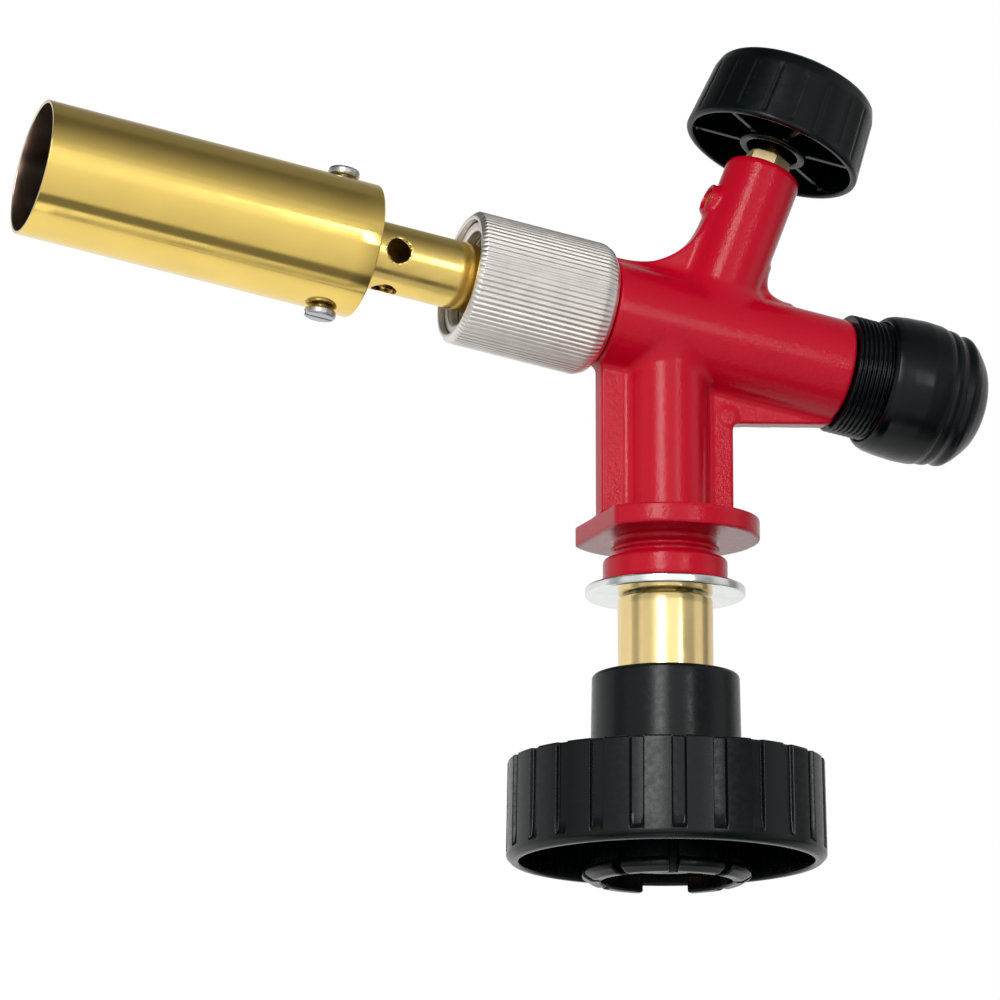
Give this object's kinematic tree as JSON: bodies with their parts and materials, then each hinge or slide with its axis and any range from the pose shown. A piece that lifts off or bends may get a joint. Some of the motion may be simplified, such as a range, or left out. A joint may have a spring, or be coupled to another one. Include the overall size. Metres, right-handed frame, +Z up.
{
  "type": "gas torch head",
  "caption": "Hand-held gas torch head with a brass burner tube, die-cast body, control knob, regulator cap and cartridge handwheel.",
  "frame": {"origin": "on the inlet axis, at the flat end of the inlet stem that the valve cartridge seals against", "axes": "+Z up the inlet axis, away from the cartridge; the burner points towards -X and rises; every axis of the torch lies in the plane Y = 0"},
  "size_m": [0.1876, 0.0588, 0.1589],
  "materials": {
    "red_paint": "glossy red enamel on a zinc die casting",
    "brass": "turned brass",
    "polished_brass": "mirror polished brass",
    "nickel": "satin nickel plate, knurled",
    "plated_steel": "bright zinc plate",
    "steel": "plain steel",
    "black_plastic": "moulded black plastic, satin",
    "wheel_plastic": "moulded black plastic with a fine eroded texture",
    "cap_plastic": "moulded black plastic, semi-gloss",
    "rubber": "nitrile rubber",
    "sinter": "sintered bronze"
  },
  "bodies": {
    "body": {"body_casting": "red_paint", "inlet_stem": "brass", "stem_o_ring": "rubber", "cartridge_seal": "rubber", "depressor_pin": "steel", "inlet_filter": "sinter", "thrust_washer": "plated_steel", "gland_nut": "brass", "port_plug": "brass", "regulator_bonnet": "black_plastic", "gas_jet": "brass"},
    "coupling": {"handwheel": "wheel_plastic", "snap_ring": "black_plastic", "coupling_sleeve": "brass", "threaded_ring": "brass"},
    "spindle_travel": {"spindle_o_ring": "rubber"},
    "knob": {"control_knob": "black_plastic", "valve_spindle": "brass"},
    "spring_travel": {"spring_plate": "steel", "regulator_spring": "steel"},
    "adjuster": {"adjuster_cap": "cap_plastic"},
    "piston": {"regulator_piston": "brass", "piston_o_ring": "rubber", "piston_pad": "rubber"},
    "nut_travel": {"nut_ring": "nickel"},
    "nut": {"union_nut": "nickel"},
    "burner": {"mixing_tube": "brass", "tube_collar": "brass", "burner_head": "brass", "flame_tube": "polished_brass", "burner_screw_upper": "plated_steel", "burner_screw_lower": "plated_steel"}
  },
  "joints": [
    {"name": "handwheel_turn", "type": "hinge", "parent": "body", "child": "coupling", "pos_m": [0, 0, 0.002], "axis": [0, 0, 1], "continuous": true},
    {"name": "spindle_slide", "type": "slide", "parent": "body", "child": "spindle_travel", "axis": [0.3665, 0, 0.9304], "range_m": [0, 0.00112]},
    {"name": "knob_turn", "type": "hinge", "parent": "spindle_travel", "child": "knob", "pos_m": [0.0073, 0, 0.09129], "axis": [0.3665, 0, 0.9304], "range_deg": [0, 540]},
    {"name": "plate_slide", "type": "slide", "parent": "body", "child": "spring_travel", "axis": [0.9864, 0, -0.1642], "range_m": [-0.0008, 0.0024]},
    {"name": "adjuster_turn", "type": "hinge", "parent": "spring_travel", "child": "adjuster", "pos_m": [0, 0, 0.0925], "axis": [0.9864, 0, -0.1642], "range_deg": [-360, 1080]},
    {"name": "piston_stroke", "type": "slide", "parent": "body", "child": "piston", "axis": [-0.9864, 0, 0.1642], "range_m": [-0.0006, 0], "stiffness_N_per_m": 2000, "springref_m": 0.002},
    {"name": "nut_slide", "type": "slide", "parent": "body", "child": "nut_travel", "axis": [-0.9864, 0, 0.1642], "range_m": [0, 0.002]},
    {"name": "nut_turn", "type": "hinge", "parent": "nut_travel", "child": "nut", "pos_m": [0, 0, 0.0925], "axis": [-0.9864, 0, 0.1642], "range_deg": [0, 720]},
    {"name": "burner_swivel", "type": "hinge", "parent": "body", "child": "burner", "pos_m": [0, 0, 0.0925], "axis": [-0.9864, 0, 0.1642], "continuous": true}
  ],
  "couplings": [
    {"joint": "knob_turn", "follows": "spindle_slide", "rad_per_m": 8377.6},
    {"joint": "adjuster_turn", "follows": "plate_slide", "rad_per_m": 7854},
    {"joint": "nut_turn", "follows": "nut_slide", "rad_per_m": 6283.2}
  ]
}
